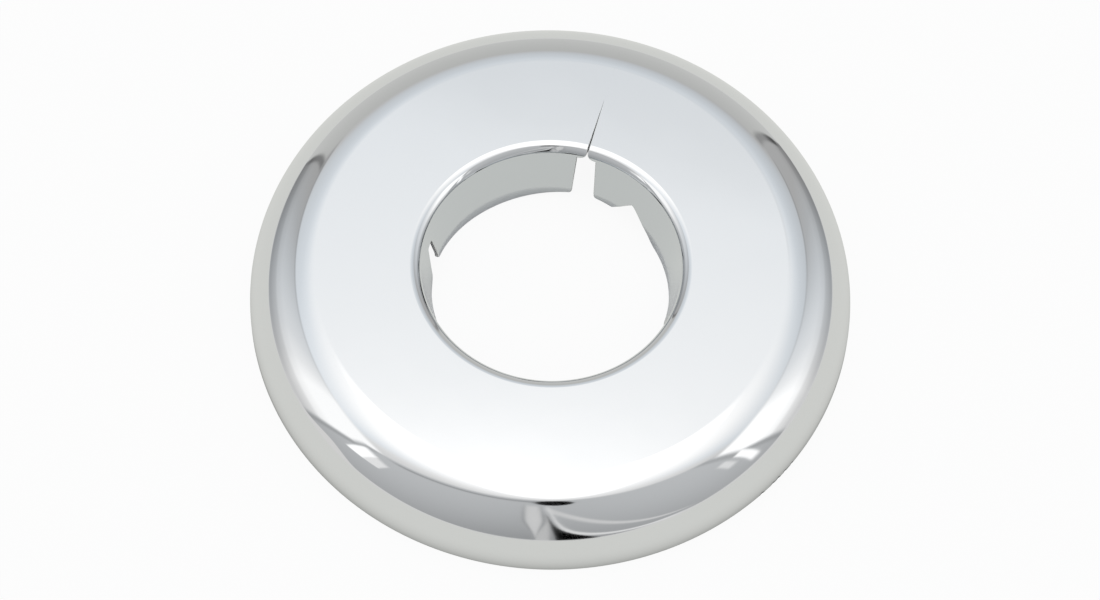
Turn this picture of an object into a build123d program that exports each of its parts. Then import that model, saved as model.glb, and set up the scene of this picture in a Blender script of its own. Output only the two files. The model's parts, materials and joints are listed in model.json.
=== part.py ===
from build123d import *
import math
import os

# Sizes in millimetres and degrees. Z is the pipe axis, the wall is at Z = 0 and the split lies along +Y.
plate_diameter = 54.0
sheet_thickness = 0.4
shoulder_inside_radius = 5.6
rim_wall_height = 0.75

# Lip that rolls from the face into the collar: a soft bend first, then a tighter one.
roll_inside_radius = 0.8
roll_turn = 28.0
lip_inside_radius = 0.55

# Collar that grips a half-inch iron pipe.
pipe_diameter = 21.34
grip_clearance = 0.01
grip_length = 1.2
grip_bend_inside_radius = 1.6
finger_lean = 11.75
tip_height = 0.3
tip_bow_radius = 34.0

# Split: a gap that narrows from the pipe hole to a hairline out to the rim.
split_width_at_hole = 0.26
split_width_at_rim = 0.06
split_taper_length = 5.0

# Gap in the collar under the split, with round ends to the lip.
split_gap_at_tip = 2.25
split_gap_at_lip = 1.9
lip_end_height = 0.85
lip_end_radius = 0.6

# Three slots that part the four fingers, placed clockwise from the split. The two fingers beside the split
# have upright sides at the slots, and the sides of the other two lean away from them.
slot_angles = [96.0, 180.0, 270.0]
slot_depth_below_face = 2.3
slot_root_radius = 0.35
upright_side_at_root = 0.55
upright_side_at_tip = 0.68
leaning_side_at_root = 0.75
leaning_side_at_tip = 1.85

# Round corners at the foot of each finger.
tip_corner_radius = 0.25

# Torn notch in the tip of the finger on the +X side of the split.
notch_angle = 26.5
notch_rise = 2.6
notch_run_near = 2.4
notch_run_far = 3.1
notch_root_radius = 0.3

# Small nicks in the rim edge.
nick_angles = [112.0, 114.0, 116.0, 117.5, 120.5]
nick_width = 0.5
nick_height = 0.12

# How far a cut runs past the sheet.
overrun = 1.0

# Sizes that follow from those above.
plate_radius = plate_diameter / 2
shoulder_radius = shoulder_inside_radius + sheet_thickness
roll_radius = roll_inside_radius + sheet_thickness
lip_radius = lip_inside_radius + sheet_thickness
grip_bend_radius = grip_bend_inside_radius + sheet_thickness
grip_radius = pipe_diameter / 2 + grip_clearance
plate_height = rim_wall_height + shoulder_radius

# Directions in the section, from outwards towards the face.
outward = 0
upward = math.pi / 2
roll_end = math.pi / 2 + math.radians(roll_turn)
lean = math.radians(finger_lean)
collar_top = math.pi - lean
inward = math.pi

# Centres of the four bends in the section, as radius and height.
grip_centre = Vector(grip_radius + grip_bend_radius, tip_height + grip_length)
roll_to_lip = Vector(math.cos(roll_end), math.sin(roll_end)) * (roll_radius - lip_radius)
lip_centre_height = plate_height - roll_radius + roll_to_lip.Y
lean_rise = (lip_centre_height - grip_centre.Y) + (lip_radius - grip_bend_radius) * math.sin(lean)
lean_run = lean_rise * math.tan(lean)
lip_centre_radius = grip_centre.X + lean_run + (lip_radius - grip_bend_radius) * math.cos(lean)
lip_centre = Vector(lip_centre_radius, lip_centre_height)
roll_centre = lip_centre - roll_to_lip
shoulder_centre = Vector(plate_radius - shoulder_radius, rim_wall_height)
collar_back_radius = lip_centre_radius + sheet_thickness

# Each finger's middle and half its span, in degrees clockwise from the split.
finger_ends = [0.0] + slot_angles + [360.0]
finger_middles = [(start + end) / 2 for start, end in zip(finger_ends, finger_ends[1:])]
finger_spans = [(end - start) / 2 for start, end in zip(finger_ends, finger_ends[1:])]


def on_bend(centre, radius, angle):
    """Point on a bend, with the angle from the outward direction towards the face."""
    return centre + Vector(math.cos(angle), math.sin(angle)) * radius


def bend(centre, radius, start, end):
    """Arc round a bend from one angle to another."""
    return ThreePointArc(
        on_bend(centre, radius, start),
        on_bend(centre, radius, (start + end) / 2),
        on_bend(centre, radius, end),
    )


def sheet_side(inset):
    """Edges along one side of the sheet from the finger tip to the rim, inset from the seen side."""
    tip = Vector(grip_radius + inset, tip_height)
    rim = Vector(plate_radius - inset, 0)
    grip_arc = bend(grip_centre, grip_bend_radius - inset, inward, collar_top)
    lip_arc = bend(lip_centre, lip_radius - inset, collar_top, roll_end)
    roll_arc = bend(roll_centre, roll_radius - inset, roll_end, upward)
    shoulder_arc = bend(shoulder_centre, shoulder_radius - inset, upward, outward)
    return [
        Line(tip, grip_arc @ 0),
        grip_arc,
        Line(grip_arc @ 1, lip_arc @ 0),
        lip_arc,
        roll_arc,
        Line(roll_arc @ 1, shoulder_arc @ 0),
        shoulder_arc,
        Line(shoulder_arc @ 1, rim),
    ]


def pressed_sheet():
    """The whole pressing before it is cut: the section turned round the pipe axis."""
    seen = sheet_side(0)
    back = sheet_side(sheet_thickness)
    tip_edge = Line(seen[0] @ 0, back[0] @ 0)
    rim_edge = Line(seen[-1] @ 1, back[-1] @ 1)
    section = make_face(seen + back + [tip_edge, rim_edge])
    return revolve(Plane.XZ * section, Axis.Z, 360)


def radial_cutter(outline, reach, angle):
    """Outline of width and height driven outwards from the pipe axis, clockwise from the split."""
    solid = extrude(Plane.XZ * outline, reach, dir=(0, 1, 0))
    return Rot(0, 0, -angle) * solid


def split_cutter():
    """Narrow gap through the face, the shoulder and the rim."""
    inner = grip_radius - overrun
    hole = roll_centre.X
    taper_end = hole + split_taper_length
    outer = plate_radius + overrun
    half_hole = split_width_at_hole / 2
    half_rim = split_width_at_rim / 2
    outline = make_face(Polyline(
        (-half_hole, inner), (-half_hole, hole), (-half_rim, taper_end), (-half_rim, outer),
        (half_rim, outer), (half_rim, taper_end), (half_hole, hole), (half_hole, inner), close=True))
    return extrude(Plane.XY.offset(-overrun) * outline, plate_height + 2 * overrun)


def round_corner(corner_x, corner_z, side_x, side_z, radius):
    """Quarter arc that rounds a corner, from its upright side to its level side."""
    centre_x = corner_x + side_x * radius
    centre_z = corner_z + side_z * radius
    half = radius * math.sqrt(0.5)
    return ThreePointArc(
        (corner_x, centre_z),
        (centre_x - side_x * half, centre_z - side_z * half),
        (centre_x, corner_z))


def bow_height(from_middle):
    """Height of a finger's bowed tip at a distance from the finger's middle."""
    return tip_height + tip_bow_radius - math.sqrt(tip_bow_radius ** 2 - from_middle ** 2)


def gap_side(half_top, top, half_gap, span):
    """Edges down the +X side of a gap, round the corner of a finger of that half span and across below."""
    corner_end = math.asin((half_gap + tip_corner_radius) / grip_radius)
    foot = bow_height(grip_radius * math.sin(math.radians(span) - corner_end))
    below = tip_height - overrun
    wide = half_gap + tip_corner_radius
    return [
        Line((half_top, top), (half_gap, foot + tip_corner_radius)),
        round_corner(half_gap, foot, 1, 1, tip_corner_radius),
        Line((wide, foot), (wide, below)),
        Line((wide, below), (0, below)),
    ]


def two_sided(right, left):
    """Closed outline from the edges of its +X half and of its -X half, both given on the +X side."""
    return make_face(right + [edge.mirror(Plane.YZ) for edge in left])


def split_gap_side(span):
    """Edges of one side of the collar's gap under the split, from the middle of its top."""
    lip_end = plate_height - lip_end_height
    half_lip = split_gap_at_lip / 2
    half_hole = split_width_at_hole / 2
    top = lip_end + lip_end_radius
    return [
        Line((0, top), (half_hole, top)),
        round_corner(half_hole, lip_end, 1, 1, lip_end_radius),
        Line((half_hole + lip_end_radius, lip_end), (half_lip, lip_end)),
    ] + gap_side(half_lip, lip_end, split_gap_at_tip / 2, span)


def split_gap_cutter():
    """Wide gap in the collar under the split, with a rounded lip end on each side."""
    outline = two_sided(split_gap_side(finger_spans[0]), split_gap_side(finger_spans[-1]))
    return radial_cutter(outline, lip_centre_radius, 0)


def slot_side(finger):
    """Edges of a slot on one finger's side, from the middle of its root round a corner to the foot."""
    beside_split = finger in (0, len(slot_angles))
    half_root = upright_side_at_root if beside_split else leaning_side_at_root
    half_tip = upright_side_at_tip if beside_split else leaning_side_at_tip
    root = plate_height - slot_depth_below_face
    return [
        Line((0, root), (half_root - slot_root_radius, root)),
        round_corner(half_root, root, -1, -1, slot_root_radius),
    ] + gap_side(half_root, root - slot_root_radius, half_tip, finger_spans[finger])


def slot_cutter(finger):
    """Slot between one finger and the next."""
    outline = two_sided(slot_side(finger + 1), slot_side(finger))
    return radial_cutter(outline, collar_back_radius, slot_angles[finger])


def tip_cutter(finger):
    """Trims one finger so that its tip is lowest in the middle."""
    reach = grip_radius * math.sin(math.radians(finger_spans[finger]))
    high = bow_height(reach)
    low = tip_height - overrun
    edge = ThreePointArc((-reach, high), (0, tip_height), (reach, high))
    below = Polyline((-reach, high), (-reach, low), (reach, low), (reach, high))
    return radial_cutter(make_face([edge, below]), collar_back_radius, finger_middles[finger])


def notch_cutter():
    """Torn notch that climbs from the tip of one finger."""
    low = tip_height - overrun
    climb = notch_rise + overrun
    near = notch_run_near / notch_rise * climb
    far = notch_run_far / notch_rise * climb
    outline = make_face(Polyline((-near, low), (0, tip_height + notch_rise), (far, low), close=True))
    root = outline.vertices().sort_by(Axis.Y)[-1]
    return radial_cutter(fillet(root, notch_root_radius), collar_back_radius, notch_angle)


def nick_cutter(angle):
    """Shallow nick across the bottom of the rim."""
    half = nick_width / 2
    outline = make_face([
        ThreePointArc((-half, 0), (0, nick_height), (half, 0)),
        Polyline((-half, 0), (-half, -overrun), (half, -overrun), (half, 0)),
    ])
    return radial_cutter(outline, plate_radius + overrun, angle)


cutters = [split_cutter(), split_gap_cutter(), notch_cutter()]
cutters += [slot_cutter(finger) for finger in range(len(slot_angles))]
cutters += [tip_cutter(finger) for finger in range(len(finger_spans))]
cutters += [nick_cutter(angle) for angle in nick_angles]

plate = pressed_sheet()
for cutter in cutters:
    plate = plate - cutter

os.makedirs("parts", exist_ok=True)
export_step(plate, "parts/escutcheon_plate.step")
print("plate", "valid", plate.is_valid, "solids", len(plate.solids()), "volume", round(plate.volume, 2))
print("size", plate.bounding_box().size)
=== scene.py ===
import bpy
import json
import math
import numpy as np
from mathutils import Matrix, Vector
from types import SimpleNamespace


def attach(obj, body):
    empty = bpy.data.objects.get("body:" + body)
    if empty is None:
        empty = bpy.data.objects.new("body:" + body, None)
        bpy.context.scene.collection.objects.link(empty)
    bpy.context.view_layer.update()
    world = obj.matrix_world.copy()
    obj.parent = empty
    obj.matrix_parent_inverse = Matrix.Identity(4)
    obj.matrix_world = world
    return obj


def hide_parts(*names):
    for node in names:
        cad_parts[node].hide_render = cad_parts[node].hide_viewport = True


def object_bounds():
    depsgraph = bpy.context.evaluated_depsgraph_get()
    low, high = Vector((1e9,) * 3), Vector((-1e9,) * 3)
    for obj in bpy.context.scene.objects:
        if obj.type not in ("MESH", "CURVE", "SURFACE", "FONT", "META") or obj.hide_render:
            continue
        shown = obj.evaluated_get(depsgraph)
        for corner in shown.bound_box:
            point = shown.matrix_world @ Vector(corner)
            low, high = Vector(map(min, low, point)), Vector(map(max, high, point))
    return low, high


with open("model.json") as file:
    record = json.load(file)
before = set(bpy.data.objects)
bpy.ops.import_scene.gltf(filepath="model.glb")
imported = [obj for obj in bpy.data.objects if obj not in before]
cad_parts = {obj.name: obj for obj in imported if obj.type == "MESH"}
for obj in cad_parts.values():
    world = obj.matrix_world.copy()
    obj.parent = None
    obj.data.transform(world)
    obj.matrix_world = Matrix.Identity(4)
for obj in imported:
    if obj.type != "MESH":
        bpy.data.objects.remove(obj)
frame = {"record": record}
cadLow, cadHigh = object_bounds()
mm = 0.001
plateRadius = cadHigh.x / mm
plateHeight = cadHigh.z / mm
gripMount = [mount for mount in frame["record"]["mounts"] if mount["name"] == "pipe_grip"][0]
gripRadius = gripMount["dims"]["r_mm"]
print("frame loaded: plate radius", round(plateRadius, 3), "height", round(plateHeight, 3))


# One shader socket that takes Python operators; make() adds any other node.
class Wire:
    def __init__(self, tree, socket=None):
        self.tree = tree
        self.socket = socket

    def make(self, kind, settings=None, inputs=None, out=0):
        node = self.tree.nodes.new(kind)
        for key, value in (settings or {}).items():
            if key == "stops":  # a ramp's stops: place and colour
                elements = node.color_ramp.elements
                while len(elements) < len(value):
                    elements.new(1.0)
                for element, (place, colour) in zip(elements, value):
                    element.position = place
                    element.color = colour
            else:
                setattr(node, key, value)
        for key, value in (inputs or {}).items():
            if isinstance(value, Wire):
                self.tree.links.new(value.socket, node.inputs[key])
            else:
                node.inputs[key].default_value = value
        return Wire(self.tree, node.outputs[out] if node.outputs else None)

    def math(self, operation, *values):
        return self.make("ShaderNodeMath", {"operation": operation}, dict(enumerate(values)))

    def __add__(self, other):
        return self.math("ADD", self, other)

    def __radd__(self, other):
        return self.math("ADD", other, self)

    def __sub__(self, other):
        return self.math("SUBTRACT", self, other)

    def __rsub__(self, other):
        return self.math("SUBTRACT", other, self)

    def __mul__(self, other):
        return self.math("MULTIPLY", self, other)

    def __rmul__(self, other):
        return self.math("MULTIPLY", other, self)

    def __truediv__(self, other):
        return self.math("DIVIDE", self, other)

    def __neg__(self):
        return self.math("MULTIPLY", self, -1.0)

    def __abs__(self):
        return self.math("ABSOLUTE", self)

    def __pow__(self, other):
        return self.math("POWER", self, other)

    def exp(self):
        return self.math("EXPONENT", self)

    def most(self, other):
        return self.math("MAXIMUM", self, other)

    def least(self, other):
        return self.math("MINIMUM", self, other)

    def rise(self, low, high):  # 0 below low, 1 above high, smooth between
        return self.make("ShaderNodeMapRange", {"interpolation_type": "SMOOTHSTEP"},
                         {"Value": self, "From Min": low, "From Max": high})

    def fade(self, low, high):  # 1 below low, 0 above high, smooth between
        return 1 - self.rise(low, high)

    def along(self, vector):  # how far this direction points along another
        settings = {"operation": "DOT_PRODUCT"}
        return self.make("ShaderNodeVectorMath", settings, {0: self, 1: vector}, "Value")

    def times(self, vector):  # a vector stretched along each axis
        return self.make("ShaderNodeVectorMath", {"operation": "MULTIPLY"}, {0: self, 1: vector})

    def noise(self, scale, detail=1.0):
        return self.make("ShaderNodeTexNoise", {}, {"Vector": self, "Scale": scale, "Detail": detail})

    def mix(self, first, second):  # this value takes the first colour to the second
        return self.make("ShaderNodeMix", {"data_type": "RGBA"}, {"Factor": self, 6: first, 7: second}, 2)


def grey(level, blue=0.0):
    # A grey of one level, with half the blue added to its blue and taken from its red.
    return (level * (1 - blue / 2), level, level * (1 + blue / 2), 1.0)


# The camera stands where the photograph's did.
photo = {
    "width": 1100,
    "height": 600,
    "azimuth": 14.5,           # degrees round from the side opposite the split
    "elevation": 61.25,
    "roll": 1.62,              # the picture leans clockwise
    "distance": 378.0,         # mm from the rim's centre
    "plateHalfWidth": 299.3,   # pixels that the plate's radius takes at that distance
    "centreX": 550.25,         # pixel where the rim's centre falls
    "centreY": 298.3,
    "sensor": 36.0,
}


def aimCamera(shot):
    # The camera looks down its own -Z from a point at the azimuth and elevation; the shift puts the
    # rim's centre on its pixel.
    azimuth = math.radians(shot["azimuth"])
    elevation = math.radians(shot["elevation"])
    level = math.cos(elevation)
    back = Vector((math.sin(azimuth) * level, -math.cos(azimuth) * level, math.sin(elevation)))
    data = bpy.data.cameras.new("photoCamera")
    camera = bpy.data.objects.new("photoCamera", data)
    bpy.context.scene.collection.objects.link(camera)
    focalPixels = shot["plateHalfWidth"] * shot["distance"] / plateRadius
    data.sensor_width = shot["sensor"]
    data.lens = focalPixels * shot["sensor"] / shot["width"]
    roll = Matrix.Rotation(math.radians(shot["roll"]), 4, "Z")
    turn = back.to_track_quat("Z", "Y").to_matrix().to_4x4()
    camera.matrix_world = Matrix.Translation(back * shot["distance"] * mm) @ turn @ roll
    data.shift_x = (shot["width"] / 2 - shot["centreX"]) / shot["width"]
    data.shift_y = (shot["centreY"] - shot["height"] / 2) / shot["width"]
    data.clip_start = 0.01
    data.clip_end = 20.0
    bpy.context.scene.camera = camera
    print("camera: lens", round(data.lens, 1))


aimCamera(photo)

# The pressed plate, in millimetres and degrees.
plate = {
    "sheet": 0.4,
    "shoulderRadius": 6.0,
    "rollRadius": 1.2,       # soft start of the lip
    "rollTurn": 28.0,
    "lipRadius": 0.95,
    "fingerLean": 11.75,
    "gripLength": 1.2,
    "gripBend": 2.0,
    "tipHeight": 0.3,
    "tipBowRadius": 34.0,
    "tipCorner": 0.25,
    "splitAtHole": 0.26,
    "splitAtRim": 0.004,
    "splitTaper": 5.0,
    "gapAtLip": 1.9,
    "gapAtTip": 2.25,
    "lipEndHeight": 0.85,
    "lipEndRadius": 0.6,
    "slotAngles": (96.0, 180.0, 270.0),
    "slotDepth": 2.3,
    "slotRoot": 0.35,
    "uprightAtRoot": 0.55,   # half slot beside the fingers at the split
    "uprightAtTip": 0.68,
    "leaningAtRoot": 0.75,   # half slot beside the other two fingers
    "leaningAtTip": 1.85,
    "notchAngle": 26.5,
    "notchRise": 2.6,
    "notchNear": 2.4,
    "notchFar": 3.1,
    "notchRoot": 0.12,
    "nickAngles": (112.0, 114.0, 116.0, 117.5, 120.5),
    "nickWidth": 0.5,
    "nickHeight": 0.12,
    "nickScar": 0.8,         # width of the near-black mark round a nick
    "edgeRound": 0.1,
    "splitRound": 0.6,       # share of half the split that its own edges round off
    "fingerColumns": 84,
    "slotColumns": 5,
    "nickColumns": 7,
    "wallRows": 4,
    "shoulderRows": 30,
    "faceRows": 14,
    "rollRows": 10,
    "lipRows": 4,
    "lipEndRows": 12,
    "lipEndStep": 0.02,      # from the lip's rounded end to the next row
    "upperRows": 8,
    "rootRows": 6,
    "fingerRows": 15,
    "crowding": 0.7,         # how much closer the columns stand at a finger's ends
    "ease": 30.0,            # degrees over which columns lean aside at a gap
}


def cornerRise(distance, radius):
    # Quarter circle: the full radius at the corner, nothing one radius away from it.
    inside = np.clip(radius - distance, 0, radius)
    return radius - np.sqrt(radius ** 2 - inside ** 2)


def tipBowAt(angle, size):
    # Rise of a finger's tip at an angle from its middle: an arc's radius less the root of the radius
    # squared less the offset squared.
    offset = gripRadius * np.sin(np.radians(angle))
    return size["tipBowRadius"] - np.sqrt(size["tipBowRadius"] ** 2 - offset ** 2)


def collarLine(size):
    # Places of the collar's bends: the soft roll, the lip's arc, the leaning finger and the grip bend.
    lean = math.radians(size["fingerLean"])
    join = math.radians(90 - size["rollTurn"])
    step = size["rollRadius"] - size["lipRadius"]
    rollZ = plateHeight - size["rollRadius"]
    lipZ = rollZ + step * math.sin(join)
    gripZ = size["tipHeight"] + size["gripLength"]
    lipEnd = lipZ + size["lipRadius"] * math.sin(lean)
    bendEnd = gripZ + size["gripBend"] * math.sin(lean)
    bendEndR = gripRadius + size["gripBend"] * (1 - math.cos(lean))
    lipR = bendEndR + (lipEnd - bendEnd) * math.tan(lean) + size["lipRadius"] * math.cos(lean)
    joinZ = lipZ + size["lipRadius"] * math.sin(join)
    rollR = lipR + step * math.cos(join)
    return {"lean": lean, "join": join, "joinZ": joinZ, "rollZ": rollZ, "rollR": rollR,
            "lipZ": lipZ, "lipR": lipR, "lipEnd": lipEnd, "bendEnd": bendEnd, "bendEndR": bendEndR,
            "gripZ": gripZ, "bendR": gripRadius + size["gripBend"]}


def collarAt(z, size, line):
    # Radius and normal of the collar at each height: two arcs of the lip, a cone, the grip's arc and its
    # cylinder. On an arc the normal's rise is the height above its centre over its radius.
    lean = line["lean"]
    rollSine = np.clip((z - line["rollZ"]) / size["rollRadius"], -1, 1)
    lipSine = np.clip((z - line["lipZ"]) / size["lipRadius"], -1, 1)
    bendSine = np.clip((z - line["gripZ"]) / size["gripBend"], 0, math.sin(lean))
    zones = [z >= line["joinZ"], z >= line["lipEnd"], z >= line["bendEnd"]]
    sine = np.select(zones, [rollSine, lipSine, math.sin(lean)], bendSine)
    cosine = np.sqrt(1 - sine ** 2)
    cone = line["bendEndR"] + (z - line["bendEnd"]) * math.tan(lean)
    radius = np.select(zones, [
        line["rollR"] - size["rollRadius"] * cosine,
        line["lipR"] - size["lipRadius"] * cosine,
        cone], line["bendR"] - size["gripBend"] * cosine)
    return radius, -cosine, sine


def slotSide(finger, size, place):
    # Half a slot's width on the side of each finger: fingers 0 and 3 stand beside the split.
    besideSplit = (finger == 0) | (finger == 3)
    return np.where(besideSplit, size["uprightAt" + place], size["leaningAt" + place])


def fingerBounds(size):
    # Angles of the split, the slots and the split again: finger k lies between bounds k and k + 1.
    return np.array((0.0, *size["slotAngles"], 360.0))


def columnAngles(size, flat):
    # Base angle of each column, clockwise from the split: four fingers with crowded ends, a few columns
    # across each slot's flat root, and more at the nicks.
    share = np.linspace(0, 1, size["fingerColumns"])
    share = share - size["crowding"] * np.sin(2 * np.pi * share) / (2 * np.pi)
    bounds = fingerBounds(size)
    starts = bounds[:-1] + flat * (bounds[:-1] > 0)
    ends = bounds[1:] - flat * (bounds[1:] < 360)
    fingers = starts[:, None] + (ends - starts)[:, None] * share
    slots = np.linspace(ends[:-1], starts[1:], size["slotColumns"], axis=1)
    nickHalf = math.degrees(size["nickWidth"] / 2 / plateRadius)
    nicks = np.array(size["nickAngles"])[:, None] + np.linspace(-nickHalf, nickHalf, size["nickColumns"])
    columns = np.concatenate([fingers.ravel(), slots.ravel(), nicks.ravel()])
    return np.unique(np.round(columns, 6)), starts, ends


def tipLevel(angle, finger, size):
    # Height of the finger tips at each column: a bow, round corners at both ends and the torn notch.
    halfSplit = math.degrees(math.asin(size["gapAtTip"] / 2 / gripRadius))
    halfSlot = np.degrees(np.arcsin(slotSide(finger, size, "Tip") / gripRadius))
    bounds = fingerBounds(size)
    start = bounds[finger] + np.where(finger == 0, halfSplit, halfSlot)
    end = bounds[finger + 1] - np.where(finger == 3, halfSplit, halfSlot)
    level = size["tipHeight"] + tipBowAt(angle - (bounds[finger] + bounds[finger + 1]) / 2, size)
    level += cornerRise(np.maximum(gripRadius * np.radians(angle - start), 0), size["tipCorner"])
    level += cornerRise(np.maximum(gripRadius * np.radians(end - angle), 0), size["tipCorner"])
    away = gripRadius * np.radians(angle - size["notchAngle"])
    slope = size["notchRise"] / np.where(away < 0, size["notchNear"], size["notchFar"])
    drop = np.sqrt((away * slope) ** 2 + size["notchRoot"] ** 2) - size["notchRoot"]
    return np.maximum(level, size["tipHeight"] + size["notchRise"] - drop)


def sideLine(z, top, halfTop, halfTip, span, size):
    # Half width of a gap in the collar: straight from its top down to where the corner of a finger begins,
    # for half the finger's span.
    corner = np.degrees(np.arcsin((halfTip + size["tipCorner"]) / gripRadius))
    foot = size["tipHeight"] + tipBowAt(span - corner, size) + size["tipCorner"]
    return halfTop + (halfTip - halfTop) * np.clip((top - z) / (top - foot), 0, 1)


def splitHalfGap(radius, z, onCollar, span, size, line):
    # Half the gap at the split: a taper over the face, a round lip end, then the widening collar gap.
    taper = [line["rollR"], line["rollR"] + size["splitTaper"]]
    face = np.interp(radius, taper, [size["splitAtHole"] / 2, size["splitAtRim"] / 2])
    low = plateHeight - size["lipEndHeight"]
    aboveLow = np.clip(z - low, 0, size["lipEndRadius"])
    lip = size["splitAtHole"] / 2 + cornerRise(aboveLow, size["lipEndRadius"])
    collar = sideLine(z, low, size["gapAtLip"] / 2, size["gapAtTip"] / 2, span, size)
    return np.where(onCollar, np.where(z >= low, lip, collar), face)


def slotHalfGap(z, root, finger, span, size):
    # Half the width of a finger slot: a round-cornered root, then straight sides.
    corner = cornerRise(np.maximum(root - z, 0), size["slotRoot"])
    halfRoot = slotSide(finger, size, "Root")
    halfTip = slotSide(finger, size, "Tip")
    return sideLine(z, root - size["slotRoot"], halfRoot, halfTip, span, size) - corner


def ringRows(size, line):
    # Rows of the rim's wall, of the shoulder as a quarter circle and of the flat face: their radius, their
    # height and how far their normals point outwards.
    shoulderR = plateRadius - size["shoulderRadius"]
    shoulderZ = plateHeight - size["shoulderRadius"]
    turn = np.radians(np.linspace(0, 90, size["shoulderRows"]))
    wallR = np.full(size["wallRows"], plateRadius)
    wallZ = np.linspace(size["edgeRound"], shoulderZ, size["wallRows"] + 1)[:-1]
    faceR = np.linspace(shoulderR, line["rollR"], size["faceRows"] + 2)[1:-1]
    faceZ = np.full(size["faceRows"], plateHeight)
    radius = np.concatenate([wallR, shoulderR + size["shoulderRadius"] * np.cos(turn), faceR])
    z = np.concatenate([wallZ, shoulderZ + size["shoulderRadius"] * np.sin(turn), faceZ])
    out = np.concatenate([np.ones(size["wallRows"]), np.cos(turn), np.zeros(size["faceRows"])])
    return radius, z, out


def collarRows(size, line, root):
    # Heights of the rows that all columns share, by the sine of even turns: the roll, the lip, its rounded
    # end, straight down to the slots, and round the corners of their roots.
    lipLow = plateHeight - size["lipEndHeight"]
    lipTurn = math.asin((lipLow + size["lipEndRadius"] - line["lipZ"]) / size["lipRadius"])
    rollTurns = np.linspace(math.pi / 2, line["join"], size["rollRows"])
    lipTurns = np.linspace(line["join"], lipTurn, size["lipRows"])[1:]
    endTurns = np.linspace(0, math.pi / 2, size["lipEndRows"])[1:]
    rootTurns = np.linspace(0, math.pi / 2, size["rootRows"])[1:]
    rows = [
        line["rollZ"] + size["rollRadius"] * np.sin(rollTurns),
        line["lipZ"] + size["lipRadius"] * np.sin(lipTurns),
        lipLow + size["lipEndRadius"] * (1 - np.sin(endTurns)),
        np.linspace(lipLow - size["lipEndStep"], root, size["upperRows"]),
        root - size["slotRoot"] * (1 - np.cos(rootTurns)),
    ]
    return np.concatenate(rows), len(rootTurns)


def columnPulls(base, starts, ends, ease):
    # How strongly each column leans aside at the split's two sides and at the slots: the square of the share
    # of the ease that is left at its distance.
    right = np.clip(1 - base / ease, 0, 1) ** 2
    left = np.clip(1 - (360 - base) / ease, 0, 1) ** 2
    before = ends[:-1, None] - base
    after = base - starts[1:, None]
    weight = np.clip(1 - np.maximum(np.maximum(before, after), 0) / ease, 0, 1) ** 2
    return right, left, (np.where(after > before, 1, -1) * weight).sum(0)


def nickHumps(base, width, size):
    # A parabola across each nick: one in its middle and nothing half a width away.
    fromNick = plateRadius * np.radians(base - np.array(size["nickAngles"])[:, None])
    return np.clip(1 - (fromNick / (width / 2)) ** 2, 0, 1)


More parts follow.
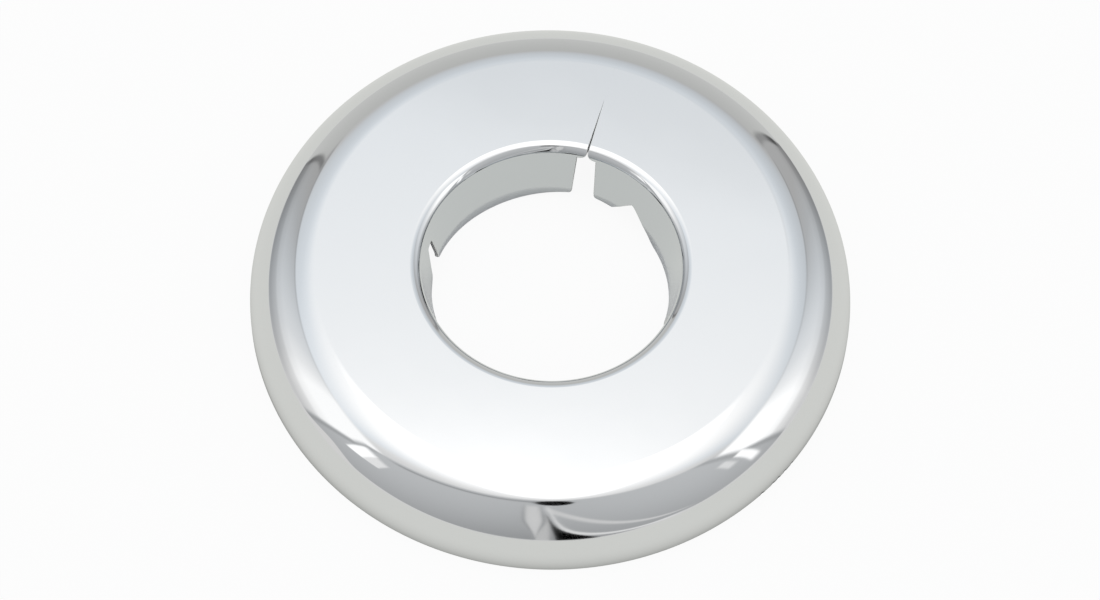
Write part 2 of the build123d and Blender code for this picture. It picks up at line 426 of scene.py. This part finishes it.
def plateGrid(size):
    # The seen side of the plate as a grid. Rows run from the rim up the wall, round the shoulder, over the
    # face and down the collar; columns run clockwise from one side of the split to the other.
    line = collarLine(size)
    root = plateHeight - size["slotDepth"]
    rootR = collarAt(np.array(root), size, line)[0]
    flat = np.degrees(np.arcsin((slotSide(np.arange(4), size, "Root") - size["slotRoot"]) / rootR))
    base, starts, ends = columnAngles(size, flat)
    bounds = fingerBounds(size)
    finger = np.clip(np.searchsorted(bounds, base, "right") - 1, 0, 3)
    span = np.diff(bounds)[finger] / 2
    every = np.ones(len(base))
    ringR, ringZ, ringOut = ringRows(size, line)
    fixedZ, rootRows = collarRows(size, line, root)
    rootRow = len(ringR) + len(fixedZ) - rootRows
    rightPull, leftPull, slotPull = columnPulls(base, starts, ends, size["ease"])

    # Finger rows run from the slots' roots to the tips.
    tipSplit = math.degrees(math.asin(size["gapAtTip"] / 2 / gripRadius))
    tipSlot = np.degrees(np.arcsin(slotSide(finger, size, "Tip") / gripRadius)) - flat[finger]
    tip = tipLevel(base + (rightPull - leftPull) * tipSplit + slotPull * tipSlot, finger, size)
    share = np.linspace(0, 1, size["fingerRows"])[1:, None]
    fingerZ = fixedZ[-1] + share * (tip - fixedZ[-1])
    collarZ = np.concatenate([fixedZ[:, None] * every, fingerZ])
    collarR, collarOut, collarUp = collarAt(collarZ, size, line)

    # The whole grid, with columns moved aside at the gaps.
    radius = np.concatenate([ringR[:, None] * every, collarR])
    z = np.concatenate([ringZ[:, None] * every, collarZ])
    normalOut = np.concatenate([ringOut[:, None] * every, collarOut])
    normalUp = np.concatenate([np.sqrt(1 - ringOut ** 2)[:, None] * every, collarUp])
    row = np.arange(len(z))[:, None]
    halfSplit = splitHalfGap(radius, z, row >= len(ringR), span, size, line)
    splitTurn = np.degrees(np.arcsin(halfSplit / radius))
    slotTurn = np.degrees(np.arcsin(slotHalfGap(z, root, finger, span, size) / radius)) - flat[finger]
    angle = base + (rightPull - leftPull) * splitTurn + np.where(row >= rootRow, slotPull * slotTurn, 0)

    # Nicks lift the foot of the wall, and the metal round them is coloured near black.
    wallRows = size["wallRows"]
    wallFade = np.linspace(1, 0, wallRows + 1)[:wallRows, None]
    nick = np.zeros_like(z)
    scar = np.zeros_like(z)
    nick[:wallRows] = nickHumps(base, size["nickWidth"], size).sum(0) * wallFade
    scar[:wallRows] = nickHumps(base, size["nickScar"], size).max(0) * wallFade ** 2
    z = z + size["nickHeight"] * nick

    a = np.radians(angle)
    points = np.stack([radius * np.sin(a), radius * np.cos(a), z], -1)
    normals = np.stack([normalOut * np.sin(a), normalOut * np.cos(a), normalUp], -1)
    middle = (base[1:] + base[:-1]) / 2
    inSlot = ((middle > ends[:-1, None]) & (middle < starts[1:, None])).any(0)
    keep = ~((row[:-1] >= rootRow - 1) & inSlot)
    atSplit = rightPull + leftPull > 0.99
    splitEdge = np.where(atSplit, halfSplit * size["splitRound"], size["edgeRound"])
    edge = np.minimum(size["edgeRound"], splitEdge)
    downLip = np.clip((line["joinZ"] - z) / (line["joinZ"] - line["lipEnd"]), 0, 1)
    inCollar = np.where(row >= len(ringR), downLip, 0)
    return points, normals, keep, edge, {"inCollar": inCollar, "scar": scar}


def sheetFromGrid(points, normals, keep, edge, thickness, steps=3):
    # A sheet with rounded cut edges: the grid is the front, the back lies one thickness down each normal,
    # and a strip of two quarter rounds and a flat runs along every edge where the grid ends.
    rows, cols = points.shape[:2]
    count = rows * cols
    index = np.arange(count).reshape(rows, cols)
    quads = np.stack([index[:-1, :-1], index[1:, :-1], index[1:, 1:], index[:-1, 1:]], -1)[keep]
    front = points.reshape(-1, 3)
    normal = normals.reshape(-1, 3)
    back = front - thickness * normal
    tail = quads.ravel()
    head = np.roll(quads, -1, axis=1).ravel()
    onEdge = ~np.isin(tail * count + head, head * count + tail)
    tail = tail[onEdge]
    head = head[onEdge]
    across = np.cross(front[head] - front[tail], normal[tail] + normal[head])
    across /= np.linalg.norm(across, axis=1, keepdims=True)
    outward = np.zeros_like(front)
    np.add.at(outward, tail, across)
    np.add.at(outward, head, across)
    edgeVerts = np.unique(tail)
    out = outward[edgeVerts]
    out /= np.linalg.norm(out, axis=1, keepdims=True)
    up = normal[edgeVerts]
    size = edge.ravel()[edgeVerts][:, None]
    bend = np.radians(np.linspace(0, 90, steps + 1)[1:])
    arcs = [front[edgeVerts] + size * (out * math.sin(b) - up * (1 - math.cos(b))) for b in bend]
    arcs += [back[edgeVerts] + size * (out * math.sin(b) + up * (1 - math.cos(b))) for b in bend[::-1]]
    arcNormals = [up * math.cos(b) + out * math.sin(b) for b in bend]
    arcNormals += [out * math.sin(b) - up * math.cos(b) for b in bend[::-1]]
    place = np.full(count, -1)
    place[edgeVerts] = np.arange(len(edgeVerts))
    first = 2 * count + np.arange(2 * steps)[:, None] * len(edgeVerts)
    levels = [edgeVerts, *(first + np.arange(len(edgeVerts))), edgeVerts + count]
    a = place[tail]
    b = place[head]
    strips = [np.stack([top[b], top[a], low[a], low[b]], 1) for top, low in zip(levels[:-1], levels[1:])]
    faces = np.concatenate([quads, quads[:, ::-1] + count] + strips)
    used, flat = np.unique(faces.ravel(), return_inverse=True)
    source = np.concatenate([index.ravel(), index.ravel()] + [edgeVerts] * (2 * steps))[used]
    return {
        "points": np.concatenate([front, back] + arcs)[used],
        "normals": np.concatenate([normal, -normal] + arcNormals)[used],
        "faces": flat.reshape(-1, 4),
        "source": source,                                   # grid point that each point comes from
        "underside": (used >= count) & (used < 2 * count),
        "cutEdge": used >= 2 * count,
    }


def buildMesh(name, sheet, marks):
    # Points in metres and smooth faces, with the marks as attributes and the worked-out normals.
    mesh = bpy.data.meshes.new(name)
    mesh.from_pydata((sheet["points"] * mm).tolist(), [], sheet["faces"].tolist())
    mesh.polygons.foreach_set("use_smooth", np.ones(len(sheet["faces"]), dtype=bool))
    values = {key: grid.ravel()[sheet["source"]] for key, grid in marks.items()}
    values["underside"] = sheet["underside"]
    values["cutEdge"] = sheet["cutEdge"]
    for key, value in values.items():
        mesh.attributes.new(key, "FLOAT", "POINT").data.foreach_set("value", value.astype(np.float32))
    mesh.update()
    mesh.normals_split_custom_set_from_vertices(sheet["normals"].tolist())
    piece = bpy.data.objects.new(name, mesh)
    bpy.context.scene.collection.objects.link(piece)
    print(name, "points", len(sheet["points"]), "faces", len(sheet["faces"]))
    return piece


# Bright plating over pressed steel. Lengths and heights are in millimetres.
plating = {
    "bright": (0.802, 0.808, 0.812, 1.0),
    "deep": (0.665, 0.687, 0.703, 1.0),    # painted shade: a darker plating colour down in the collar and on the underside
    "sheared": (0.90, 0.90, 0.89, 1.0),    # cut edges, made paler than the plating: painted light
    "bare": (0.07, 0.067, 0.063, 1.0),     # near black round the nicks
    "polish": 0.035,                       # roughness of the buffed face
    "haze": 0.035,                         # added where the buffing is thin
    "drawn": 0.07,                         # added in the collar
    "mill": 0.26,                          # added on the underside
    "shear": 0.5,                          # added on cut edges
    "hazeScale": 0.11,
    "hazeEdge": (0.42, 0.72),
    "bareEdge": (0.25, 0.65),
    "waveLength": 5.0,
    "waveHeight": 0.003,
    "peelLength": 0.45,
    "peelHeight": 0.00005,
    "drawLength": 0.5,
    "drawStretch": 0.06,                   # the drawn lines run up and down
    "drawHeight": 0.0006,
}


def brightPlating(finish):
    # Long waves and a fine orange peel all over, lines drawn down the collar and the underside, and duller
    # metal on cut edges and round the nicks. Painted shade darkens the plating colour in the collar and on
    # the underside, painted light makes cut edges paler, and the metal round the nicks is coloured near
    # black.
    material = bpy.data.materials.new("brightPlating")
    material.use_nodes = True
    tree = material.node_tree
    tree.nodes.clear()
    start = Wire(tree)
    place = start.make("ShaderNodeTexCoord", {}, {}, "Object").times((1 / mm, 1 / mm, 1 / mm))
    marks = {key: start.make("ShaderNodeAttribute", {"attribute_name": key}, {}, "Fac")
             for key in ("inCollar", "scar", "underside", "cutEdge")}
    waves = place.noise(1 / finish["waveLength"])
    peel = place.noise(1 / finish["peelLength"], 2.0)
    lines = place.times((1, 1, finish["drawStretch"])).noise(1 / finish["drawLength"], 2.0)
    cloud = place.noise(finish["hazeScale"], 2.0).rise(*finish["hazeEdge"])
    collarAndUnderside = marks["inCollar"].most(marks["underside"])
    bare = (marks["scar"] * (0.7 + lines)).rise(*finish["bareEdge"])
    # painted shade: the collar and the underside take the darker plating colour
    colour = collarAndUnderside.mix(finish["bright"], finish["deep"])
    # painted light: cut edges take a colour paler than the plating
    colour = (marks["cutEdge"] * (0.55 + 0.6 * peel)).mix(colour, finish["sheared"])
    # a near-black colour round the nicks
    colour = bare.mix(colour, finish["bare"])
    roughness = finish["polish"] + finish["haze"] * cloud + finish["drawn"] * marks["inCollar"] * lines
    roughness = roughness + marks["underside"] * finish["mill"] * (0.6 + 0.8 * lines)
    roughness = roughness + marks["cutEdge"] * finish["shear"] * (0.7 + 0.6 * peel) + bare * finish["shear"]
    height = waves * finish["waveHeight"] + peel * finish["peelHeight"]
    height = height + collarAndUnderside * lines * finish["drawHeight"]
    bump = start.make("ShaderNodeBump", {}, {"Strength": 1.0, "Distance": mm, "Height": height})
    shader = start.make("ShaderNodeBsdfPrincipled", {}, {
        "Base Color": colour, "Metallic": 1.0, "Roughness": roughness, "Normal": bump})
    start.make("ShaderNodeOutputMaterial", {}, {"Surface": shader})
    print("plating nodes", len(tree.nodes))
    return material


points, normals, keep, edge, marks = plateGrid(plate)
piece = buildMesh("pressedPlate", sheetFromGrid(points, normals, keep, edge, plate["sheet"]), marks)
piece.data.materials.append(brightPlating(plating))
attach(piece, "root")
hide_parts("escutcheon_plate")

# A white tent of cloth round the plate, with lamps above and at both sides and a seam in front. In each part
# of it a pair of numbers is where an edge starts and ends, and a light stop is a place, a light level and a
# touch of blue.
tent = {
    "turn": photo["azimuth"],
    "strength": 1.5,           # colours are written as shares of this
    "floorLine": (0.0, 0.03),
    "below": 0.75,             # light from below the floor line
    "cameraAzimuth": 175.5,    # the camera's dark spot, in degrees clockwise from the back wall
    "cameraElevation": 65.4,
    "cameraOuter": 4.028,
    "cameraInner": 3.42,
}


def tentLevel(level, blue=0.0):
    # A grey of that light, as a share of the tent's strength.
    return grey(level / tent["strength"], blue)


def lightStops(value, stops):
    # A ramp from the first stop's place to the last one's.
    low = stops[0][0]
    span = stops[-1][0] - low
    ramp = [((place - low) / span, tentLevel(level, blue)) for place, level, blue in stops]
    return value.make("ShaderNodeValToRGB", {"stops": ramp}, {"Fac": (value - low) / span})


def multiply(first, second):
    # One colour times another.
    return first.make("ShaderNodeMix", {"data_type": "RGBA", "blend_type": "MULTIPLY"},
                      {"Factor": 1.0, 6: first, 7: second}, 2)


def darken(light, share):
    # Light less a share of it.
    return share.mix(light, tentLevel(0.0))


def band(value, middle, edge):
    # One near the middle value, fading on both sides of it.
    return abs(value - middle).fade(*edge)


def tentDirections(start, turn):
    # The parts of a ray that point right, back and up. Over the upward part they give a place on the
    # ceiling, over the sideways part one on a side, and over the forward part one on the front.
    ray = start.make("ShaderNodeTexCoord", {}, {}, "Generated")
    right = ray.along((math.cos(turn), math.sin(turn), 0))
    back = ray.along((-math.sin(turn), math.cos(turn), 0))
    up = ray.along((0, 0, 1))
    least = 0.02               # keeps the divisions finite
    soft = 0.1
    rise = up.most(least)
    side = abs(right).most(least)
    toFront = (-back).most(least)
    return SimpleNamespace(
        ray=ray, right=right, back=back, up=up, side=side, toBack=back.most(least),
        x=right / rise, y=back / rise, along=back / side, height=up / side,
        across=right / toFront, above=up / toFront, onRight=right.rise(-soft, soft),
        inFront=(-back).rise(0.0, soft), behind=back.rise(0.0, soft))


# Ceiling: brightest overhead, with a lamp behind the cloth.
ceiling = {
    "stops": ((0.25, 1.42, 0.0), (0.40, 1.20, 0.0), (0.50, 1.04, 0.04), (0.60, 0.90, 0.09),
              (0.70, 0.80, 0.11), (0.85, 0.73, 0.11), (1.00, 0.69, 0.10), (1.15, 0.64, 0.08),
              (1.35, 0.555, 0.0)),
    "reach": 0.555,            # how its light flattens towards the sides
    "bend": 0.352,
    "middle": 0.053,           # its brightest place, towards the back
    "front": 1.48,             # how much faster it falls off towards the camera
    "lean": 0.092,             # brighter to the left by this share
    "plain": (0.1, 0.25),      # where it loses its blue towards the camera
    "lampWide": 0.27,          # half size of the lamp
    "lampDeep": 0.41,
    "lampMiddle": 0.1,
    "lampTurn": 0.12,
    "lampLight": 1.35,
    "lampEdge": (0.92, 1.04),
    "fold": 0.085,             # share of light lost in a fold towards the back
    "foldSlope": 0.3,
    "foldStart": (0.585, 0.615),
    "foldEnd": (0.66, 0.75),
    "foldMiddle": 0.04,
    "foldWide": (0.06, 0.14),
}


def ceilingLight(at, cloth):
    # Light by reach from the brightest place: the root of a flattened square of the way sideways plus the
    # square of the way back. The lamp is an ellipse with a soft edge.
    square = at.x * at.x
    beyond = at.y - cloth["middle"]
    deep = beyond.most(beyond * -cloth["front"])
    reach = (square * cloth["reach"] / (square + cloth["bend"]) + deep * deep) ** 0.5
    leaning = 1 - at.x.most(-1.0).least(1.0) * cloth["lean"]
    light = multiply(lightStops(reach, cloth["stops"]), leaning)
    plain = light.make("ShaderNodeRGBToBW", {}, {0: light})
    light = (-at.y).rise(*cloth["plain"]).mix(light, plain)
    lampX = at.x / cloth["lampWide"]
    lampY = (at.y + at.x * cloth["lampTurn"] - cloth["lampMiddle"]) / cloth["lampDeep"]
    lamp = ((lampX * lampX + lampY * lampY) ** 0.5).fade(*cloth["lampEdge"])
    light = lamp.mix(light, tentLevel(cloth["lampLight"]))
    fold = (at.y + at.x * cloth["foldSlope"]).rise(*cloth["foldStart"]) * at.y.fade(*cloth["foldEnd"])
    fold = fold * band(at.x, cloth["foldMiddle"], cloth["foldWide"])
    return darken(light, fold * cloth["fold"])


# Side lamps: bright from the front edge to the middle, falling off to the back and to the floor.
sideLamps = {
    "alongStops": ((-0.35, 1.215, 0.0), (0.0, 1.20, 0.0), (0.14, 0.975, 0.02), (0.30, 0.83, 0.05),
                   (0.47, 0.75, 0.07), (0.70, 0.63, 0.08), (1.0, 0.49, 0.05), (1.3, 0.44, 0.0)),
    "upStops": ((0.0, 0.87, 0.0), (0.09, 0.855, 0.0), (0.18, 0.975, 0.0), (0.27, 1.08, 0.0),
                (0.35, 1.34, 0.0), (0.55, 1.5, 0.0)),
    "lean": 0.07,              # the right lamp is stronger by this share
    "edge": (0.70, 0.80),      # where the ceiling gives way to them
    "hem": 0.13,               # share of light lost in the ceiling's side hems
    "hemAt": 0.77,
    "hemWide": (0.0, 0.06),
    "hemBase": 0.6,            # the hems deepen from this towards the back
    "hemStart": (-0.4, -0.2),
    "hemEnd": (1.2, 1.4),
}


def sideLampLight(light, at, lamps):
    # One ramp along the side times another up it.
    lamp = multiply(lightStops(at.along, lamps["alongStops"]), lightStops(at.height, lamps["upStops"]))
    lamp = multiply(1 + at.onRight * lamps["lean"], lamp)
    light = abs(at.x).rise(*lamps["edge"]).mix(light, lamp)
    hem = band(abs(at.x), lamps["hemAt"], lamps["hemWide"]) * (lamps["hemBase"] + at.y.most(0.0))
    hem = hem * at.y.rise(*lamps["hemStart"]) * at.y.fade(*lamps["hemEnd"])
    return darken(light, hem * lamps["hem"])


# Back wall between two dark slits.
backWall = {
    "colour": (0.640, 0.645, 0.632, 1.0),
    "fall": 0.25,              # share of its light lost towards its top
    "top": (1.30, 1.48),
    "side": (0.735, 0.75),
    "turn": 0.09,
    "slit": 0.05,
    "slitAt": 0.755,
    "slitLean": 0.3,
    "slitWide": (0.010, 0.035),
    "slitFoot": (0.05, 0.14),
    "slitTop": (0.50, 0.60),
    "slitDepth": 0.55,         # how dark the left slit is
    "rightLess": 0.2,          # the right one is paler above and darker at its foot
    "rightFoot": (0.15, 0.35),
    "rightMore": 0.5,
}


def backWallLight(light, at, wall):
    # The wall ends where a ray's sideways part over its backward part, plus a share of its rise, passes one
    # value, and the slits lie along that line.
    seam = abs(at.right + at.back * wall["turn"]) / at.toBack + at.up * wall["slitLean"]
    onWall = at.y.rise(*wall["top"]) * seam.fade(*wall["side"]) * at.behind
    colour = tuple(part / tent["strength"] for part in wall["colour"])
    light = onWall.mix(light, multiply(1 - at.up * wall["fall"], colour))
    slit = band(seam, wall["slitAt"], wall["slitWide"]) * at.behind
    slit = slit * at.up.fade(*wall["slitTop"]) * at.up.rise(*wall["slitFoot"])
    more = at.up.fade(*wall["rightFoot"]) * wall["rightMore"] - wall["rightLess"]
    return (slit * (wall["slitDepth"] + at.onRight * more)).mix(light, tentLevel(wall["slit"]))


# Front cloth under the ceiling's hem.
frontCloth = {
    "low": 0.34,               # its light at the floor, and what it gains upwards and sideways
    "gainUp": 0.23,
    "gainSide": 0.15,
    "blue": 0.04,
    "edge": (-0.02, 0.03),
    "lampEdge": 0.14,          # where it meets the side lamps, and how that edge leans
    "lampEdgeRight": 0.05,
    "lampSlope": 0.31,
    "lampSlopeRight": 0.06,
    "lampEdgeMost": 0.385,
    "ceilingEdge": 0.36,       # where it meets the ceiling
    "ceilingEdgeRight": 0.15,
    "hem": 0.35,               # share of light lost in the hem under the ceiling
    "hemAt": 0.43,
    "hemRight": (-0.05, 0.03),
    "hemLeft": (-0.8, -0.6),
    "lampHem": 0.22,           # and beside the side lamps
    "hemWide": 0.04,
}


def frontClothLight(light, at, cloth):
    # The cloth lies beyond the lamps' edge or the ceiling's, whichever reaches further; its level is a sum
    # of shares of the way up and sideways, less its two hems.
    slope = cloth["lampSlope"] - at.onRight * cloth["lampSlopeRight"]
    lampEdge = cloth["lampEdge"] + at.onRight * cloth["lampEdgeRight"] + at.height * slope
    lampEdge = at.side * lampEdge.least(cloth["lampEdgeMost"])
    ceilingEdge = at.up * cloth["ceilingEdge"] - at.right.most(0.0) * cloth["ceilingEdgeRight"]
    hemEdge = (0.0, cloth["hemWide"])
    hem = abs(-at.back - at.up * cloth["hemAt"]).fade(*hemEdge)
    hem = hem * at.right.fade(*cloth["hemRight"]) * at.x.rise(*cloth["hemLeft"])
    lampHem = band(-at.back - lampEdge, cloth["hemWide"], hemEdge)
    level = cloth["low"] + at.up * cloth["gainUp"] + abs(at.right) * cloth["gainSide"]
    level = level * (1 - hem * cloth["hem"]) * (1 - lampHem * cloth["lampHem"])
    colour = multiply(level / tent["strength"], grey(1.0, cloth["blue"]))
    return (-at.back - lampEdge.most(ceilingEdge)).rise(*cloth["edge"]).mix(light, colour)


# Paler cloth along the floor, and places where the side lamps shine past the front cloth.
streaks = {
    "low": 0.76,
    "lowBlue": -0.02,
    "lowTop": 0.055,
    "lowEdge": (-0.01, 0.02),
    "lowEnd": (-0.15, -0.05),
    "humpAt": -0.385,          # it rises to a hump on the left
    "humpWide": (0.0, 0.25),
    "humpRise": 0.13,
    "footSlope": 0.78,         # the left streak and patch stand on a slanting line
    "footAt": 0.09,
    "footEdge": (0.0, 0.05),
    "leftTop": (0.9, 1.1),
    "patch": 0.92,
    "leftPatch": -0.63,
    "leftPatchWide": (0.06, 0.09),
    "rightPatch": -0.54,
    "rightPatchWide": (0.02, 0.06),
    "rightPatchFoot": (0.45, 0.6),
    "rightPatchTop": (0.8, 0.95),
    "rightPatchShare": 0.8,
    "streak": 1.28,
    "leftStreak": -0.505,
    "leftStreakWide": (0.05, 0.075),
    "rightStreak": -0.42,
    "rightStreakWide": (0.025, 0.05),
    "rightStreakFoot": (0.12, 0.3),
    "rightStreakTop": (0.7, 0.8),
}


def lampStreaks(light, at, cloth):
    # Pale below a line with a hump in it. Each patch or streak is a band along the side times one up it.
    onLeft = 1 - at.onRight
    top = cloth["lowTop"] + band(at.along, cloth["humpAt"], cloth["humpWide"]) * onLeft * cloth["humpRise"]
    low = (top - at.height).rise(*cloth["lowEdge"]) * at.along.fade(*cloth["lowEnd"])
    light = low.mix(light, tentLevel(cloth["low"], cloth["lowBlue"]))
    foot = (at.height + at.along * cloth["footSlope"] - cloth["footAt"]).rise(*cloth["footEdge"])
    foot = foot * at.height.fade(*cloth["leftTop"]) * onLeft
    shares = {"Patch": at.onRight * cloth["rightPatchShare"], "Streak": at.onRight}
    for kind, share in shares.items():
        left = band(at.along, cloth["left" + kind], cloth["left" + kind + "Wide"]) * foot
        right = band(at.along, cloth["right" + kind], cloth["right" + kind + "Wide"]) * share
        right = right * at.height.rise(*cloth["right" + kind + "Foot"])
        right = right * at.height.fade(*cloth["right" + kind + "Top"])
        light = left.most(right).mix(light, tentLevel(cloth[kind.lower()]))
    return light


# Seam in the front cloth: a bright drop and a petal beside it, two folds that sweep right from them and the
# dark opening below. A fall is a height and the run over which it dies away.
frontSeam = {
    "drop": 0.71,              # light of each
    "petal": 0.60,
    "upperFold": 0.71,
    "lowerFold": 0.86,
    "opening": 0.0,
    "dropAt": -0.036,          # the drop's foot, its lean and how it widens upwards
    "dropLean": -0.03,
    "dropThin": 0.003,
    "dropWide": 0.045,
    "dropGrow": (0.05, 0.8),
    "dropEdge": (0.8, 1.1),
    "dropTop": (1.5, 2.0),
    "outline": 0.35,           # share of light lost round the drop
    "outlineAt": 1.25,
    "outlineWide": (0.0, 0.3),
    "petalLeft": (1.3, 1.7),   # in half widths of the drop
    "petalRight": (0.02, 0.04),
    "petalTop": (0.8, 1.3),
    "foldLeft": (-0.02, 0.03),
    "foldRight": (0.7, 1.1),
    "foldTop": (1.6, 2.1),
    "upperFalls": ((1.45, 0.28),),
    "upperLow": 0.09,
    "upperEdge": (0.02, 0.24),
    "lowerFalls": ((0.62, 0.03), (0.42, 0.15)),
    "lowerLow": 0.05,
    "lowerStart": 0.045,
    "lowerSpread": 3.0,        # how it widens to the right
    "lowerEdge": (0.04, 0.24),
    "openingFalls": ((0.40, 0.035),),
    "openingStart": 0.033,
    "openingLow": 0.43,
    "openingSlope": 1.4,
    "openingEdge": (0.0, 0.012),
    "openingLeft": 0.062,
    "openingLean": 0.052,
    "openingSide": (0.0, 0.004),
    "openingTop": (0.9, 1.2),
}


def fallingLine(run, falls, low):
    # A low level plus each fall's height times e to the minus run over its length.
    line = low
    for height, length in falls:
        line = (run / -length).exp() * height + line
    return line


def frontSeamLight(light, at, seam):
    # The drop is a distance from a leaning line over a half width that grows upwards. A fold is a height
    # over a falling line's height, less one. The opening lies under a falling line and to the right of a
    # leaning one.
    halfDrop = seam["dropThin"] + at.above.rise(*seam["dropGrow"]) * seam["dropWide"]
    besideDrop = (at.across - seam["dropAt"] - at.above * seam["dropLean"]) / halfDrop
    drop = abs(besideDrop)
    belowTop = at.above.fade(*seam["dropTop"]) * at.inFront
    light = darken(light, band(drop, seam["outlineAt"], seam["outlineWide"]) * seam["outline"] * belowTop)
    light = (drop.fade(*seam["dropEdge"]) * belowTop).mix(light, tentLevel(seam["drop"]))
    petal = besideDrop.rise(*seam["petalLeft"]) * at.across.fade(*seam["petalRight"])
    petal = petal * at.above.fade(*seam["petalTop"]) * at.inFront
    light = petal.mix(light, tentLevel(seam["petal"]))
    onFolds = at.across.rise(*seam["foldLeft"]) * at.across.fade(*seam["foldRight"])
    onFolds = onFolds * at.above.fade(*seam["foldTop"]) * at.inFront
    upper = abs(at.above / fallingLine(at.across, seam["upperFalls"], seam["upperLow"]) - 1)
    light = (upper.fade(*seam["upperEdge"]) * onFolds).mix(light, tentLevel(seam["upperFold"]))
    run = at.across - seam["lowerStart"]
    lower = abs(at.above / fallingLine(run, seam["lowerFalls"], seam["lowerLow"]) - 1)
    lower = lower / (1 + at.across.most(0.0) * seam["lowerSpread"])
    light = (lower.fade(*seam["lowerEdge"]) * onFolds).mix(light, tentLevel(seam["lowerFold"]))
    run = at.across - seam["openingStart"]
    under = fallingLine(run, seam["openingFalls"], seam["openingLow"])
    under = under - at.across * seam["openingSlope"] - at.above
    beside = at.across + at.above * seam["openingLean"] - seam["openingLeft"]
    opening = under.rise(*seam["openingEdge"]) * beside.rise(*seam["openingSide"])
    opening = opening * at.above.fade(*seam["openingTop"]) * at.inFront
    return opening.mix(light, tentLevel(seam["opening"]))


def cameraSpot(light, at, cloth):
    # Dark where the cosine of the angle from the camera's direction is near one.
    elevation = math.radians(cloth["cameraElevation"])
    azimuth = math.radians(cloth["cameraAzimuth"] - cloth["turn"])
    level = math.cos(elevation)
    camera = (level * math.sin(azimuth), level * math.cos(azimuth), math.sin(elevation))
    outer = math.cos(math.radians(cloth["cameraOuter"]))
    inner = math.cos(math.radians(cloth["cameraInner"]))
    return darken(light, at.ray.along(camera).rise(outer, inner))


def tentWorld(cloth):
    # Light by direction, laid on part by part: pale below the floor line, and plain white where the camera
    # looks past the floor.
    world = bpy.data.worlds.new("lightTent")
    bpy.context.scene.world = world
    world.use_nodes = True
    tree = world.node_tree
    tree.nodes.clear()
    start = Wire(tree)
    at = tentDirections(start, math.radians(cloth["turn"]))
    light = ceilingLight(at, ceiling)
    light = sideLampLight(light, at, sideLamps)
    light = backWallLight(light, at, backWall)
    light = frontClothLight(light, at, frontCloth)
    light = lampStreaks(light, at, streaks)
    light = frontSeamLight(light, at, frontSeam)
    light = cameraSpot(light, at, cloth)
    light = at.up.rise(*cloth["floorLine"]).mix(tentLevel(cloth["below"]), light)
    seen = start.make("ShaderNodeLightPath", {}, {}, "Is Camera Ray")
    light = seen.mix(light, tentLevel(1.0))
    glow = start.make("ShaderNodeBackground", {}, {"Color": light, "Strength": cloth["strength"]})
    start.make("ShaderNodeOutputWorld", {}, {"Surface": glow})
    print("tent nodes", len(tree.nodes))


tentWorld(tent)

# The pale floor under the plate, in millimetres.
floor = {
    "half": 1500.0,
    "drop": 0.02,
    "white": 0.85,
    "glow": 0.93,              # share of plain white that the camera sees
    "mirrored": (0.745, 0.752, 0.722, 1.0),   # what the metal sees of it
    "mirrorFrom": 9.1,         # it dims towards the finger tips
    "mirrorTo": 10.6,
    "rimShade": 0.30,          # shade that the rim casts round itself, and how far
    "rimReach": 1.0,
    "rimInside": (1.0, 0.9),   # it ends this far inside the rim
    "footShade": 0.28,         # deeper shade right at its foot
    "footReach": 0.15,
    "shadeFrom": 15.5,         # ring under the plate that stays dark
    "shadeTo": plateRadius - 0.6,
    "shadeEdge": 0.5,
}


def paleFloor(ground):
    # A square whose white glows a little for the camera and for reflections, but not under the plate.
    half = ground["half"] * mm
    low = -ground["drop"] * mm
    mesh = bpy.data.meshes.new("paleFloor")
    corners = [(-half, -half, low), (half, -half, low), (half, half, low), (-half, half, low)]
    mesh.from_pydata(corners, [], [(0, 1, 2, 3)])
    square = bpy.data.objects.new("paleFloor", mesh)
    bpy.context.scene.collection.objects.link(square)
    material = bpy.data.materials.new("paleFloor")
    material.use_nodes = True
    tree = material.node_tree
    tree.nodes.clear()
    start = Wire(tree)
    place = start.make("ShaderNodeTexCoord", {}, {}, "Object")
    radius = start.make("ShaderNodeVectorMath", {"operation": "LENGTH"}, {0: place}, "Value") / mm
    outside = radius.rise(ground["shadeTo"] - ground["shadeEdge"], ground["shadeTo"])
    lit = outside.most(radius.fade(ground["shadeFrom"], ground["shadeFrom"] + ground["shadeEdge"]))
    camera = start.make("ShaderNodeLightPath", {}, {}, "Is Camera Ray")
    glossy = start.make("ShaderNodeLightPath", {}, {}, "Is Glossy Ray")
    mirrored = outside.most(radius.fade(ground["mirrorFrom"], ground["mirrorTo"]))
    share = (camera * lit).most(glossy * mirrored) * ground["glow"]
    fromRim = (radius - plateRadius).most(0.0)
    byRim = 1 - (fromRim / -ground["rimReach"]).exp() * ground["rimShade"]
    byRim = byRim - (fromRim / -ground["footReach"]).exp() * ground["footShade"]
    inside, outer = ground["rimInside"]
    byRim = byRim.most(radius.fade(plateRadius - inside, plateRadius - outer))
    colour = glossy.mix(grey(1.0), multiply(byRim, ground["mirrored"]))
    matt = start.make("ShaderNodeBsdfDiffuse", {}, {"Color": grey(ground["white"])})
    glow = start.make("ShaderNodeEmission", {}, {"Color": colour, "Strength": 1.0})
    blend = start.make("ShaderNodeMixShader", {}, {0: share, 1: matt, 2: glow})
    start.make("ShaderNodeOutputMaterial", {}, {"Surface": blend})
    mesh.materials.append(material)
    print("floor laid")


paleFloor(floor)
bpy.context.scene.view_settings.view_transform = "Standard"
